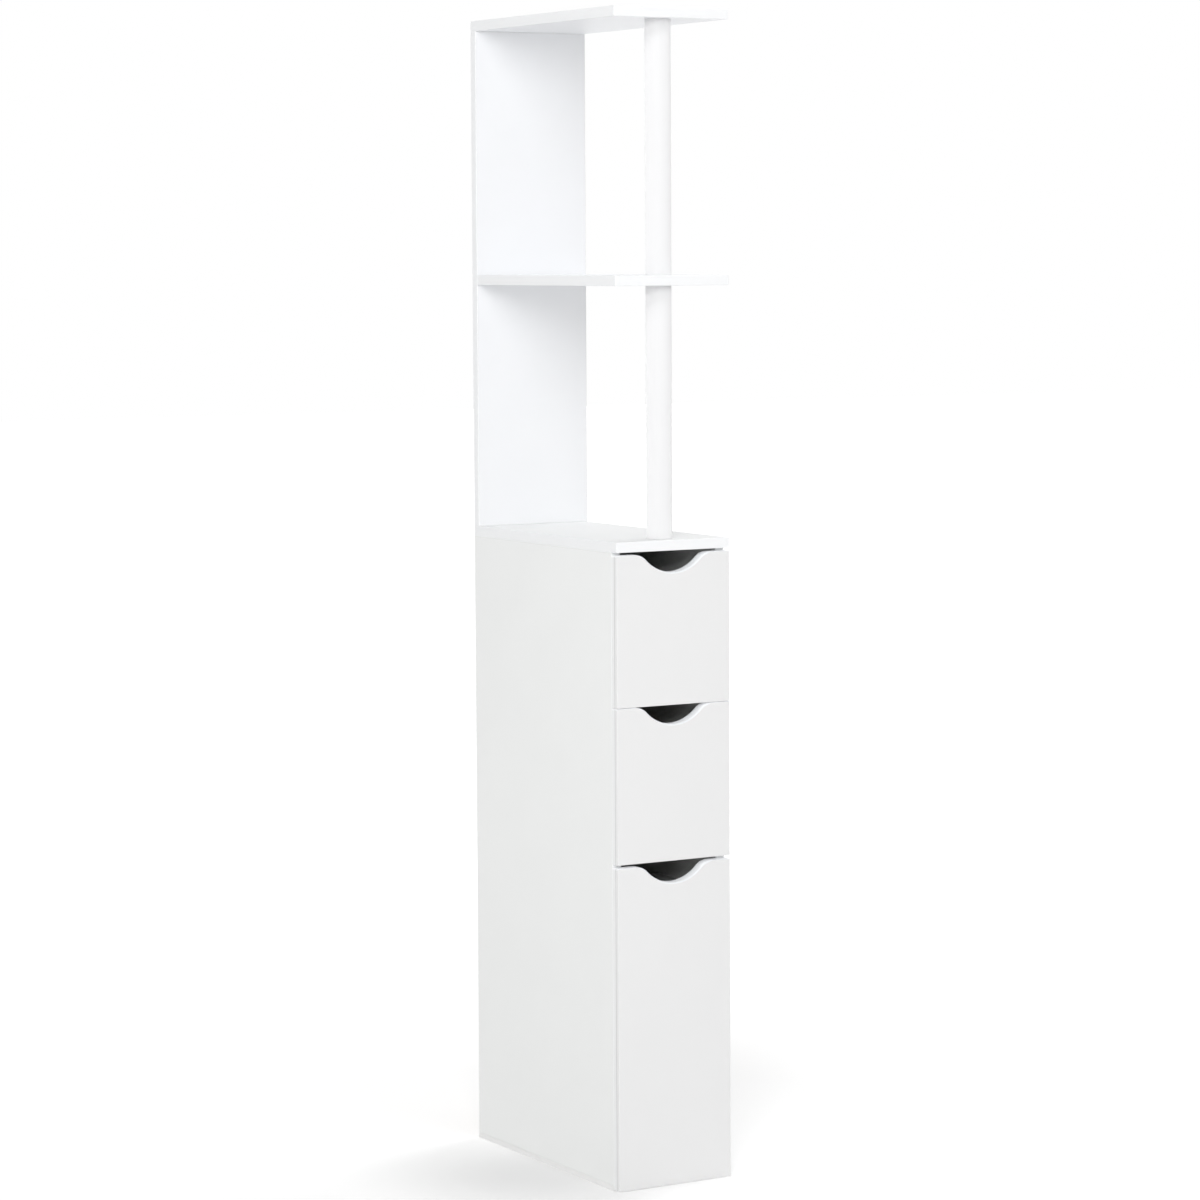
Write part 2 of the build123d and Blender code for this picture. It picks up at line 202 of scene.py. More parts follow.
def make_piece(name, parts, material, body, node):
    """A closed mesh from its parts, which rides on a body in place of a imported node.

    Its doubles are merged and its normals point outwards. It is smooth but for edges over the sharp angle.
    """
    points, faces = joined(parts)
    mesh = bpy.data.meshes.new(name)
    mesh.from_pydata(points.tolist(), [], faces.tolist())
    work = bmesh.new()
    work.from_mesh(mesh)
    bmesh.ops.remove_doubles(work, verts=work.verts, dist=SAME_POINT)
    bmesh.ops.dissolve_degenerate(work, edges=work.edges, dist=NO_LENGTH)
    bmesh.ops.recalc_face_normals(work, faces=work.faces)
    work.to_mesh(mesh)
    work.free()
    mesh.shade_smooth()
    mesh.set_sharp_from_angle(angle=SHARP_ANGLE)
    mesh.materials.append(material)
    piece = bpy.data.objects.new(name, mesh)
    bpy.context.scene.collection.objects.link(piece)
    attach(piece, body)
    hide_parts(node)
    return piece


# Materials

def pearled(tree, place, smooth, dull):
    """Roughness and relief of a coating that was pressed against a finely pearled plate.

    The plate leaves shallow dimples, which break the satin sheen between the smooth and the dull roughness.
    """
    pearl = add_node(tree, "ShaderNodeTexNoise", {
        "Vector": place, "Scale": 1 / PEARL, "Detail": 1.0}).outputs[0]
    rough = add_node(tree, "ShaderNodeMapRange", {
        "Value": pearl, "From Min": 0.3, "From Max": 0.7, "To Min": smooth, "To Max": dull}).outputs[0]
    relief = add_node(tree, "ShaderNodeBump", {
        "Height": pearl, "Strength": 0.10, "Distance": 0.08 * MM}).outputs[0]
    return rough, relief


def coated_board(name, node, face_hex, band_hex):
    """White melamine-coated particle board with a plastic edge band.

    The coating is paper soaked in melamine resin and pressed hot, so the face has a pearled satin sheen
    and a hardly visible cloudiness a hand's width across. The band on the narrow sides has its own white,
    and a hairline of glue shows beside it.
    """
    material, tree, place = new_material(name)
    low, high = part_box(node)
    half = (high - low) / 2
    thin = min(range(3), key=lambda axis: half[axis])
    offset = add_node(tree, "ShaderNodeVectorMath", {
        0: place, 1: (low + high) / 2}, operation="SUBTRACT").outputs[0]
    spread = add_node(tree, "ShaderNodeVectorMath", {0: offset}, operation="ABSOLUTE").outputs[0]
    inward = add_node(tree, "ShaderNodeVectorMath", {0: half, 1: spread}, operation="SUBTRACT").outputs[0]
    sides = add_node(tree, "ShaderNodeSeparateXYZ", {0: inward}).outputs
    first, second = [sides[axis] for axis in range(3) if axis != thin]
    border = add_node(tree, "ShaderNodeMath", {0: first, 1: second}, operation="MINIMUM").outputs[0]
    band = add_node(tree, "ShaderNodeMapRange", {
        "Value": border, "From Min": BAND - BAND_BLUR, "From Max": BAND + BAND_BLUR,
        "To Min": 1.0, "To Max": 0.0}).outputs[0]
    glue = add_node(tree, "ShaderNodeMath", {
        0: border, 1: GLUE_PLACE, 2: GLUE_WIDTH / 2}, operation="COMPARE").outputs[0]
    glue_share = add_node(tree, "ShaderNodeMath", {0: glue, 1: GLUE_SHARE}, operation="MULTIPLY").outputs[0]
    clouds = add_node(tree, "ShaderNodeTexNoise", {
        "Vector": place, "Scale": 1 / CLOUD, "Detail": 2.0}).outputs[0]
    soft = add_node(tree, "ShaderNodeMapRange", {
        "Value": clouds, "From Min": 0.35, "From Max": 0.65}).outputs[0]
    face = linear(face_hex)
    pale = tuple(min(1.0, channel * CLOUD_LIFT) for channel in face)
    tone = add_node(tree, "ShaderNodeMix", {0: soft, 6: face, 7: pale}, data_type="RGBA").outputs[2]
    banded = add_node(tree, "ShaderNodeMix", {
        0: band, 6: tone, 7: linear(band_hex)}, data_type="RGBA").outputs[2]
    colour = add_node(tree, "ShaderNodeMix", {
        0: glue_share, 6: banded, 7: linear("#B9B6AE")}, data_type="RGBA").outputs[2]
    rough, relief = pearled(tree, place, 0.38, 0.47)
    shader = add_node(tree, "ShaderNodeBsdfPrincipled", {
        "Base Color": colour, "Roughness": rough, "IOR": 1.5, "Normal": relief})
    add_node(tree, "ShaderNodeOutputMaterial", {0: shader.outputs[0]})
    return material


def coated_front(name, low, high):
    """White melamine-coated front, postformed at its sides, with a routed and banded top edge.

    The face has the boards' pearled sheen and is evenly grey-white. It wraps round the upright corners and
    ends part of the way across each side in a thin grey seam, with a paler band behind it. The band along
    the top edge is whiter and bluish, and from a little behind the face it glows a little: painted light,
    so that the cut's wall is nearly as bright as the face, as the real one is, though the cut shades it.
    The rim attribute is 1 on the top edge and 0 elsewhere.
    """
    material, tree, place = new_material(name)
    x, y, _ = add_node(tree, "ShaderNodeSeparateXYZ", {0: place}).outputs
    across = add_node(tree, "ShaderNodeMath", {0: x}, operation="ABSOLUTE").outputs[0]
    on_side = add_node(tree, "ShaderNodeMath", {
        0: across, 1: high.x - 0.2 * MM}, operation="GREATER_THAN").outputs[0]
    seam_line = add_node(tree, "ShaderNodeMath", {
        0: y, 1: low.y + SEAM_DEPTH, 2: SEAM_WIDTH / 2}, operation="COMPARE").outputs[0]
    behind = add_node(tree, "ShaderNodeMath", {
        0: y, 1: low.y + SEAM_DEPTH}, operation="GREATER_THAN").outputs[0]
    seam = add_node(tree, "ShaderNodeMath", {0: seam_line, 1: on_side}, operation="MULTIPLY").outputs[0]
    side_band = add_node(tree, "ShaderNodeMath", {0: behind, 1: on_side}, operation="MULTIPLY").outputs[0]
    rim = add_node(tree, "ShaderNodeAttribute", attribute_name="rim").outputs["Fac"]
    clouds = add_node(tree, "ShaderNodeTexNoise", {
        "Vector": place, "Scale": 1 / FRONT_CLOUD, "Detail": 2.0}).outputs[0]
    tone = add_node(tree, "ShaderNodeMix", {
        0: clouds, 6: linear("#EFEFEF"), 7: linear("#F1F1F1")}, data_type="RGBA").outputs[2]
    banded = add_node(tree, "ShaderNodeMix", {
        0: side_band, 6: tone, 7: linear("#F7F8F8")}, data_type="RGBA").outputs[2]
    routed = add_node(tree, "ShaderNodeMix", {
        0: rim, 6: banded, 7: linear("#F8FAFD")}, data_type="RGBA").outputs[2]
    colour = add_node(tree, "ShaderNodeMix", {
        0: seam, 6: routed, 7: linear("#D3D4D3")}, data_type="RGBA").outputs[2]
    # Painted light: the top edge glows, from nothing just behind the face up to full strength deeper in
    depth = add_node(tree, "ShaderNodeMapRange", {
        "Value": y, "From Min": low.y + PAINTED_LIGHT_START, "From Max": low.y + CUT_ROUND}).outputs[0]
    wall = add_node(tree, "ShaderNodeMath", {0: rim, 1: depth}, operation="MULTIPLY").outputs[0]
    glow = add_node(tree, "ShaderNodeMath", {0: wall, 1: WALL_PAINTED_LIGHT}, operation="MULTIPLY").outputs[0]
    rough, relief = pearled(tree, place, 0.40, 0.50)
    shader = add_node(tree, "ShaderNodeBsdfPrincipled", {
        "Base Color": colour, "Roughness": rough, "IOR": 1.5, "Normal": relief,
        "Emission Color": WHITE, "Emission Strength": glow})
    add_node(tree, "ShaderNodeOutputMaterial", {0: shader.outputs[0]})
    return material


def lacquered_pole():
    """White satin lacquer, sprayed on a turned wooden pole.

    It dried a little duller than the boards. The grain of the wood still shows through as faint
    lengthwise ripples, over the soft orange peel of the spray.
    """
    material, tree, place = new_material("satin_lacquer")
    drawn_out = add_node(tree, "ShaderNodeMapping", {
        "Vector": place, "Scale": (1 / RIPPLE, 1 / RIPPLE, 1 / RIPPLE_LENGTH)}).outputs[0]
    grain = add_node(tree, "ShaderNodeTexNoise", {
        "Vector": drawn_out, "Scale": 1.0, "Detail": 3.0}).outputs[0]
    peel = add_node(tree, "ShaderNodeTexNoise", {
        "Vector": place, "Scale": 1 / ORANGE_PEEL, "Detail": 1.0}).outputs[0]
    height = add_node(tree, "ShaderNodeMath", {0: grain, 1: peel}, operation="ADD").outputs[0]
    relief = add_node(tree, "ShaderNodeBump", {
        "Height": height, "Strength": 0.12, "Distance": 0.06 * MM}).outputs[0]
    tone = add_node(tree, "ShaderNodeMix", {
        0: grain, 6: linear("#F0F0F1"), 7: linear("#F3F3F3")}, data_type="RGBA").outputs[2]
    rough = add_node(tree, "ShaderNodeMapRange", {"Value": peel, "To Min": 0.46, "To Max": 0.58}).outputs[0]
    shader = add_node(tree, "ShaderNodeBsdfPrincipled", {
        "Base Color": tone, "Roughness": rough, "Diffuse Roughness": 1.0, "IOR": 1.45, "Normal": relief})
    add_node(tree, "ShaderNodeOutputMaterial", {0: shader.outputs[0]})
    return material


def lacquered_hardboard(name, sheet, axis, test, dark_hex, light_hex):
    """Hardboard, lacquered on the side that passes the test along the axis and raw on the other.

    The pressed fibres show as flecks a few millimetres wide on the brown side, and they leave a fine
    pebbled relief. The thin lacquer evens out the colour but not the relief.
    """
    material, tree, place = new_material(name)
    low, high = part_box(sheet)
    level = add_node(tree, "ShaderNodeSeparateXYZ", {0: place}).outputs[axis]
    show = add_node(tree, "ShaderNodeMath", {
        0: level, 1: (low[axis] + high[axis]) / 2}, operation=test).outputs[0]
    flecks = add_node(tree, "ShaderNodeTexNoise", {
        "Vector": place, "Scale": 1 / FIBRE_FLECK, "Detail": 4.0}).outputs[0]
    brown = add_node(tree, "ShaderNodeMix", {
        0: flecks, 6: linear("#6E5236"), 7: linear("#A98B65")}, data_type="RGBA").outputs[2]
    lacquer = add_node(tree, "ShaderNodeMix", {
        0: flecks, 6: linear(dark_hex), 7: linear(light_hex)}, data_type="RGBA").outputs[2]
    colour = add_node(tree, "ShaderNodeMix", {0: show, 6: brown, 7: lacquer}, data_type="RGBA").outputs[2]
    rough = add_node(tree, "ShaderNodeMapRange", {"Value": show, "To Min": 0.8, "To Max": 0.5}).outputs[0]
    relief = add_node(tree, "ShaderNodeBump", {
        "Height": flecks, "Strength": 0.25, "Distance": 0.1 * MM}).outputs[0]
    shader = add_node(tree, "ShaderNodeBsdfPrincipled", {
        "Base Color": colour, "Roughness": rough, "Normal": relief})
    add_node(tree, "ShaderNodeOutputMaterial", {0: shader.outputs[0]})
    return material


def moulded_plastic(name, dark_hex, light_hex):
    """Moulded polypropylene, slightly waxy, with the fine spark-eroded grain of its mould."""
    material, tree, place = new_material(name)
    flow = add_node(tree, "ShaderNodeTexNoise", {
        "Vector": place, "Scale": 1 / PLASTIC_FLOW, "Detail": 2.0}).outputs[0]
    tone = add_node(tree, "ShaderNodeMix", {
        0: flow, 6: linear(dark_hex), 7: linear(light_hex)}, data_type="RGBA").outputs[2]
    spark = add_node(tree, "ShaderNodeTexNoise", {
        "Vector": place, "Scale": 1 / SPARK_GRAIN, "Detail": 1.0}).outputs[0]
    rough = add_node(tree, "ShaderNodeMapRange", {"Value": spark, "To Min": 0.42, "To Max": 0.6}).outputs[0]
    relief = add_node(tree, "ShaderNodeBump", {
        "Height": spark, "Strength": 0.2, "Distance": 0.03 * MM}).outputs[0]
    shader = add_node(tree, "ShaderNodeBsdfPrincipled", {
        "Base Color": tone, "Roughness": rough, "IOR": 1.49, "Normal": relief})
    add_node(tree, "ShaderNodeOutputMaterial", {0: shader.outputs[0]})
    return material


def plain_metal(name, dark_hex, light_hex, roughness, grain):
    """Zinc, die cast or plated: dull grey with crystals as wide as the grain and scuffs half as wide."""
    material, tree, place = new_material(name)
    crystals = add_node(tree, "ShaderNodeTexVoronoi", {
        "Vector": place, "Scale": 1 / grain}).outputs["Distance"]
    tone = add_node(tree, "ShaderNodeMix", {
        0: crystals, 6: linear(light_hex), 7: linear(dark_hex)}, data_type="RGBA").outputs[2]
    scuffs = add_node(tree, "ShaderNodeTexNoise", {
        "Vector": place, "Scale": 2 / grain, "Detail": 3.0}).outputs[0]
    rough = add_node(tree, "ShaderNodeMapRange", {
        "Value": scuffs, "To Min": roughness - 0.08, "To Max": roughness + 0.1}).outputs[0]
    relief = add_node(tree, "ShaderNodeBump", {
        "Height": scuffs, "Strength": 0.2, "Distance": 0.03 * MM}).outputs[0]
    shader = add_node(tree, "ShaderNodeBsdfPrincipled", {
        "Base Color": tone, "Metallic": 1.0, "Roughness": rough, "Normal": relief})
    add_node(tree, "ShaderNodeOutputMaterial", {0: shader.outputs[0]})
    return material


def raw_beech():
    """Raw beech as it was turned to dowels: pinkish tan and dull, with fine darker flecks."""
    material, tree, place = new_material("raw_beech")
    flecks = add_node(tree, "ShaderNodeTexNoise", {
        "Vector": place, "Scale": 1 / BEECH_FLECK, "Detail": 3.0}).outputs[0]
    tone = add_node(tree, "ShaderNodeMix", {
        0: flecks, 6: linear("#A9805A"), 7: linear("#D9B68C")}, data_type="RGBA").outputs[2]
    relief = add_node(tree, "ShaderNodeBump", {
        "Height": flecks, "Strength": 0.3, "Distance": 0.1 * MM}).outputs[0]
    shader = add_node(tree, "ShaderNodeBsdfPrincipled", {
        "Base Color": tone, "Roughness": 0.7, "Normal": relief})
    add_node(tree, "ShaderNodeOutputMaterial", {0: shader.outputs[0]})
    return material


# New shapes

def cut_height(x):
    """How far the top edge lies below the plain level at x.

    A bowl arc lies between two shoulder arcs, and all of them are tangent.
    """
    half = CUT_WIDTH / 2
    both = (half ** 2 + CUT_DEPTH ** 2) / (2 * CUT_DEPTH)
    shoulder = both - BOWL_RADIUS
    bend = BOWL_RADIUS * half / both
    across = np.abs(x)
    from_end = np.clip(half - across, 0, half - bend)
    shoulder_drop = shoulder - np.sqrt(shoulder ** 2 - from_end ** 2)
    bowl_drop = CUT_DEPTH - BOWL_RADIUS + np.sqrt(BOWL_RADIUS ** 2 - np.minimum(across, bend) ** 2)
    return np.where(across < bend, bowl_drop, shoulder_drop)


def edge_radius(x):
    """Round-over radius of the top edge at x: the sides', growing evenly to the cut's inside its ends."""
    from_end = CUT_WIDTH / 2 - np.abs(x)
    return SIDE_ROUND + (CUT_ROUND - SIDE_ROUND) * np.clip(from_end / ROUND_RUN, 0, 1)


def front_outline(low, high, share):
    """Bottom and top edge of a front as rows of x, z and the round-over radius there.

    Both edges are moved inwards, square to themselves, by a share of that radius.
    """
    columns = np.concatenate([
        np.linspace(low.x, -CUT_WIDTH / 2, SHOULDER_COLUMNS)[:-1],
        np.linspace(-CUT_WIDTH / 2, CUT_WIDTH / 2, CUT_COLUMNS),
        np.linspace(CUT_WIDTH / 2, high.x, SHOULDER_COLUMNS)[1:]])
    slope = -np.gradient(cut_height(columns), columns)
    length = np.sqrt(1 + slope ** 2)
    level = high.z - cut_height(columns)
    radius = edge_radius(columns)
    inset = radius * share
    margin = SIDE_ROUND * share
    x = np.clip(columns + inset * slope / length, low.x + margin, high.x - margin)
    top = np.stack([x, level - inset / length, radius], axis=1)
    bottom = np.stack([x, np.full_like(x, low.z + margin), np.full_like(x, SIDE_ROUND)], axis=1)
    return bottom, top


def front_parts(low, high):
    """Face, rear and rounded rim of a front.

    The face is ruled from the bottom edge to the cut top edge, evenly but for one row close under it. The
    rim is the outline carried along a profile: straight from the rear, then a quarter round of the edge's
    radius into the face.
    """
    turn = np.linspace(0, math.pi / 2, ROUND_STEPS)
    shares = np.concatenate([[0.0], 1 - np.cos(turn)])
    lifts = np.concatenate([[0.0], 1 - np.sin(turn)])
    last_row = 1 - RIM_ROW / (high.z - low.z)
    steps = np.append(np.linspace(0, last_row, FACE_ROWS), 1)[:, None, None]
    rings = []
    sheets = []
    for row, (share, lift) in enumerate(zip(shares, lifts)):
        bottom, top = front_outline(low, high, share)
        flat = bottom + steps * (top - bottom)
        ring = np.concatenate([flat[0], flat[1:-1, -1], flat[-1, ::-1], flat[-2:0:-1, 0]])
        depth = low.y + ring[:, 2] * lift if row else np.full(len(ring), high.y)
        rings.append(np.stack([ring[:, 0], depth, ring[:, 1]], axis=1))
        if row in (0, len(shares) - 1):
            plane = np.full(flat.shape[:2], low.y if row else high.y)
            sheet = np.stack([flat[..., 0], plane, flat[..., 1]], axis=-1)
            sheets.append((sheet.reshape(-1, 3), grid_faces(*plane.shape)))
    rim = np.stack(rings)
    return [(rim.reshape(-1, 3), grid_faces(*rim.shape[:2], wrap=True))] + sheets


def mark_rim(piece, top_level):
    """Store 1 on each vertex of the top edge, short of where its round meets the face, and 0 elsewhere."""
    points = np.empty(len(piece.data.vertices) * 3)
    piece.data.vertices.foreach_get("co", points)
    x, _, z = points.reshape(-1, 3).T
    rim = (top_level - cut_height(x) - z < 0.9 * edge_radius(x)).astype(np.float32)
    piece.data.attributes.new("rim", "FLOAT", "POINT").data.foreach_set("value", rim)


def lathe(profile, centre):
    """A profile of radius and height pairs turned about an upright axis through the centre."""
    angle = np.linspace(0, 2 * math.pi, POLE_STEPS, endpoint=False)
    radius, height = profile.T
    x = centre[0] + radius[:, None] * np.cos(angle)
    y = centre[1] + radius[:, None] * np.sin(angle)
    z = np.broadcast_to(height[:, None], x.shape)
    points = np.stack([x, y, z], axis=-1)
    return [(points.reshape(-1, 3), grid_faces(*points.shape[:2], wrap=True))]


def pole_profile(radius, low, high):
    """Radius and height pairs of a pole: foot centre, quarter round, wall, quarter round, head centre."""
    turn = np.linspace(0, math.pi / 2, POLE_RIM_STEPS)
    foot = np.stack([radius - POLE_RIM * (1 - np.sin(turn)), low + POLE_RIM * (1 - np.cos(turn))], axis=1)
    levels = np.linspace(low + POLE_RIM, high - POLE_RIM, POLE_ROWS)[1:-1]
    wall = np.stack([np.full_like(levels, radius), levels], axis=1)
    head = np.stack([foot[::-1, 0], high + low - foot[::-1, 1]], axis=1)
    return np.concatenate([[[0.0, low]], foot, wall, head, [[0.0, high]]])


def solids_of(node):
    """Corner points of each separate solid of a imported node.

    Each corner has a label, and the lowest one spreads over the triangles that share corners.
    """
    mesh = nodes[node].data
    points = np.empty(len(mesh.vertices) * 3)
    mesh.vertices.foreach_get("co", points)
    corners = np.empty(len(mesh.loops), np.int32)
    mesh.loops.foreach_get("vertex_index", corners)
    merged, index = np.unique(np.round(points.reshape(-1, 3), 6), axis=0, return_inverse=True)
    triangles = index.ravel()[corners].reshape(-1, 3)
    label = np.arange(len(merged))
    settled = False
    while not settled:
        lowest = label.copy()
        np.minimum.at(lowest, triangles.ravel(), np.repeat(label[triangles].min(axis=1), 3))
        settled = (lowest == label).all()
        label = lowest
    return [merged[label == value] for value in np.unique(label)]


def side_axes(direction):
    """The two unit vectors square to a direction that lies along one axis of the frame."""
    axis = int(np.argmax(np.abs(direction)))
    return np.eye(3)[(axis + 1) % 3], np.eye(3)[(axis + 2) % 3]


def strip_round(start, direction, distance, radius):
    """A strip round an axis: each grid point has its distance along the axis, its radius and its angle."""
    side, up = side_axes(direction)
    ring = np.cos(ANGLE)[:, None] * side + np.sin(ANGLE)[:, None] * up
    points = start + distance[..., None] * direction + radius[..., None] * ring
    return points.reshape(-1, 3), grid_faces(*radius.shape, wrap=True)


def rows(*pairs):
    """Distance and radius pairs as two arrays with one row each and one column for every angle."""
    distance, radius = np.array(pairs, float).T
    return distance[:, None] + 0 * ANGLE, radius[:, None] + 0 * ANGLE


def stacked(*strips):
    """Several row arrays of distance and radius as one."""
    return np.concatenate([d for d, _ in strips]), np.concatenate([r for _, r in strips])


def threaded(low, high, outer, core, pitch):
    """A screw thread from low to high: the radius falls evenly from a helical ridge to the core."""
    count = max(2, int((high - low) / pitch * ROWS_A_TURN))
    distance = np.linspace(low, high, count)[:, None] + 0 * ANGLE
    turn = distance / pitch - ANGLE / (2 * math.pi)
    ridge = 1 - 2 * np.abs(turn % 1 - 0.5)
    return distance, core + (outer - core) * ridge


def cross_head(radius, level, slot_length, slot_width, slot_depth, rings):
    """A round flat head, from its centre to its rim, sunk by the deeper of two crossing slots.

    The slots' walls lean over a fifth of their width, and their ends over three tenths of their length.
    """
    reach = np.linspace(0, radius, rings)[:, None] + 0 * ANGLE
    x, y = np.abs(reach * np.cos(ANGLE)), np.abs(reach * np.sin(ANGLE))
    depths = []
    for along, beside in ((x, y), (y, x)):
        wall = np.clip((slot_width / 2 - beside) / (0.2 * slot_width), 0, 1)
        end = np.clip((slot_length / 2 - along) / (0.3 * slot_length), 0, 1)
        depths.append(np.minimum(wall, end))
    return level + slot_depth * np.maximum(*depths), reach


def long_axis(points, heavy_end=False):
    """A bar along its longest side: start, direction, length, radius at the start, each point's radius.

    With heavy_end the bar is turned so that it starts at its thicker end.
    """
    low, high = points.min(axis=0), points.max(axis=0)
    axis = int(np.argmax(high - low))
    centre = (low + high) / 2
    away = np.linalg.norm(np.delete(points - centre, axis, axis=1), axis=1)
    ends = [away[np.abs(points[:, axis] - end) < SAME_PLACE].max() for end in (low[axis], high[axis])]
    sign = -1 if heavy_end and ends[1] > ends[0] else 1
    direction = sign * np.eye(3)[axis]
    start = centre - direction * (high - low)[axis] / 2
    return start, direction, (high - low)[axis], ends[0 if sign > 0 else 1], away


def fine_screw(points):
    """A countersunk steel screw: cross slot, cone, plain neck, coarse thread and a point.

    Its shank is as thick as the solid's, or half as thick as the head on a short one. The head stands a
    hair over the solid's, so that it shows in the board.
    """
    start, direction, length, head, away = long_axis(points, heavy_end=True)
    corner = np.sort(away)[len(away) // 2] if length > LONG_SCREW else 0.5 * head
    shank = corner * FLAT_SHARE
    core, neck = 0.66 * shank, 0.8 * shank
    rim = head + HEAD_OVER
    cone_end = 0.62 * head
    neck_end = cone_end + 0.15 * length
    tip = length - 2 * shank
    return strip_round(start, direction, *stacked(
        cross_head(rim - 0.1 * MM, -HEAD_LIFT, 1.3 * rim, 0.32 * rim, 0.4 * rim, rings=12),
        rows((0.08 * MM - HEAD_LIFT, rim), (0.12 * MM, rim), (0.25 * MM, 0.86 * rim),
             (cone_end, neck), (neck_end, neck)),
        threaded(neck_end, tip, shank, core, 0.8 * shank),
        rows((tip, core), (length, 0.1 * shank), (length, 0.0))))


def fine_bolt(points):
    """A cam bolt: thread, collar, plain neck and a cylindrical head with bevelled rims and a recess.

    The solid has corners where its thread ends, which tells which way the bolt lies.
    """
    start, direction, length, corner, _ = long_axis(points)
    steps = np.abs((points - start) @ direction)
    if not np.any(np.abs(steps - BOLT_THREAD) < SAME_PLACE):
        start, direction = start + length * direction, -direction
    outer = corner * FLAT_SHARE
    neck = 0.65 * outer
    head = length - BOLT_HEAD
    return strip_round(start, direction, *stacked(
        rows((0, 0), (0, 0.6 * outer), (BOLT_LEAD, 0.8 * outer)),
        threaded(BOLT_LEAD, BOLT_THREAD - 0.5 * MM, outer, 0.72 * outer, BOLT_PITCH),
        rows((BOLT_THREAD - 0.4 * MM, outer), (BOLT_THREAD, outer), (BOLT_THREAD, neck), (head, neck),
             (head, 0.85 * outer), (head + BOLT_BEVEL, outer), (length - 0.5 * MM, outer),
             (length, 0.8 * outer), (length, 0.4 * outer), (length - BOLT_RECESS, 0.3 * outer),
             (length - BOLT_RECESS, 0))))


def fine_stud(points):
    """A threaded steel rod with bevelled ends and a short plain middle."""
    start, direction, length, corner, _ = long_axis(points)
    radius = corner * FLAT_SHARE
    core = 0.8 * radius
    first_end, second_start = length / 2 - STUD_PLAIN, length / 2 + STUD_PLAIN
    return strip_round(start, direction, *stacked(
        rows((0, 0), (0, 0.7 * radius)),
        threaded(STUD_BEVEL, first_end, radius, core, STUD_PITCH),
        rows((first_end, 0.88 * radius), (second_start, 0.88 * radius)),
        threaded(second_start, length - STUD_BEVEL, radius, core, STUD_PITCH),
        rows((length, 0.7 * radius), (length, 0))))


def fine_dowel(points):
    """A fluted wooden dowel with bevelled ends: the radius dips a little at each lengthwise flute."""
    start, direction, length, corner, _ = long_axis(points)
    distance, reach = rows((0, 0), (0, 0.8), (DOWEL_BEVEL, 1.0), (length / 2, 1.0),
                           (length - DOWEL_BEVEL, 1.0), (length, 0.8), (length, 0))
    dip = 1 - FLUTE_DIP * (1 + np.cos(FLUTES * ANGLE))
    return strip_round(start, direction, distance, reach * dip * corner * FLAT_SHARE)


def fine_cam(points):
    """A die-cast cam: a round plate with a cross slot, over a wall that is open to the bolt's head.

    The corners nearest the middle belong to the mouth in the solid. They lie away from the plate and on
    the far side from the bolt, which tells which way the cam faces.
    """
    low, high = points.min(axis=0), points.max(axis=0)
    axis = int(np.argmin(high - low))
    centre = (low + high) / 2
    offset = points - centre
    inner = offset[np.linalg.norm(np.delete(offset, axis, axis=1), axis=1) < CAM_INNER]
    outward = -np.sign(inner[:, axis].mean()) * np.eye(3)[axis]
    far = inner.mean(axis=0)
    far[axis] = 0
    far = far / np.linalg.norm(far)
    top = centre + outward * (high - low)[axis] / 2
    plate = strip_round(top, -outward, *stacked(
        cross_head(CAM_RADIUS - CAM_BEVEL, 0.0, 9.5 * MM, 2.4 * MM, 1.4 * MM, rings=16),
        rows((CAM_BEVEL, CAM_RADIUS), (CAM_PLATE, CAM_RADIUS), (CAM_PLATE, 0))))
    bore = CAM_RADIUS - CAM_WALL
    gap = math.asin(CAM_MOUTH / bore)
    turn = np.linspace(gap - math.pi, math.pi - gap, CAM_STEPS)
    beside = np.cross(outward, far)
    around = np.cos(turn)[:, None] * far + np.sin(turn)[:, None] * beside
    depth = np.array([CAM_PLATE, CAM_PLATE, CAM_HEIGHT, CAM_HEIGHT])
    reach = np.array([bore, CAM_RADIUS, CAM_RADIUS, bore])
    wall = top - depth[None, :, None] * outward + reach[None, :, None] * around[:, None, :]
    wall = wall.reshape(-1, 3)
    first_end = np.arange(4)
    ends = [first_end, len(wall) - 1 - first_end]
    faces = np.concatenate([grid_faces(CAM_STEPS, 4, wrap=True), ends])
    return joined([plate, (wall, faces)])


# Boards, sheets, runners and strips

for board in ("left_side_panel", "right_side_panel"):
    dress(board, coated_board("melamine_" + board, board, "#F9FAF9", "#FAFBFB"))
for board in ("top_panel", "bottom_panel", "lower_rail", "upper_rail"):
    dress(board, coated_board("melamine_" + board, board, "#F0F1F1", "#FBFCFD"))
for board in ("rear_panel", "middle_shelf", "top_shelf"):
    dress(board, coated_board("melamine_" + board, board, "#F5F6F8", "#FCFDFE"))
# Painted shade: the drawer boxes' boards are a darker grey than the white boards, so that the insides seen
# through the finger cuts look shaded
for drawer in DRAWERS:
    for part in ("left_side", "right_side", "back"):
        board = drawer + "_drawer_" + part
        dress(board, coated_board("melamine_" + board, board, "#C6C8C8", "#D2D3D3"))

back_finish = lacquered_hardboard("hardboard_back", "cabinet_back", 1, "LESS_THAN", "#E4E4E0", "#ECECE9")
dress("cabinet_back", back_finish)
# Painted shade: the lacquer of the drawer bottoms is a darker grey than the back's, so that the insides
# seen through the finger cuts look shaded
for drawer in DRAWERS:
    sheet = drawer + "_drawer_bottom"
    dress(sheet, lacquered_hardboard("hardboard_" + sheet, sheet, 2, "GREATER_THAN", "#BFC1C0", "#CACBCA"))

runner_plastic = moulded_plastic("polypropylene_runner", "#DCDDDB", "#E4E5E3")
strip_plastic = moulded_plastic("polypropylene_strip", "#F5F5F4", "#F9F9F8")
for word in ("left", "right"):
    dress(word + "_foot_strip", strip_plastic)
    for drawer in DRAWERS:
        dress(drawer + "_" + word + "_runner", runner_plastic)

# Fittings, made finer than their solids

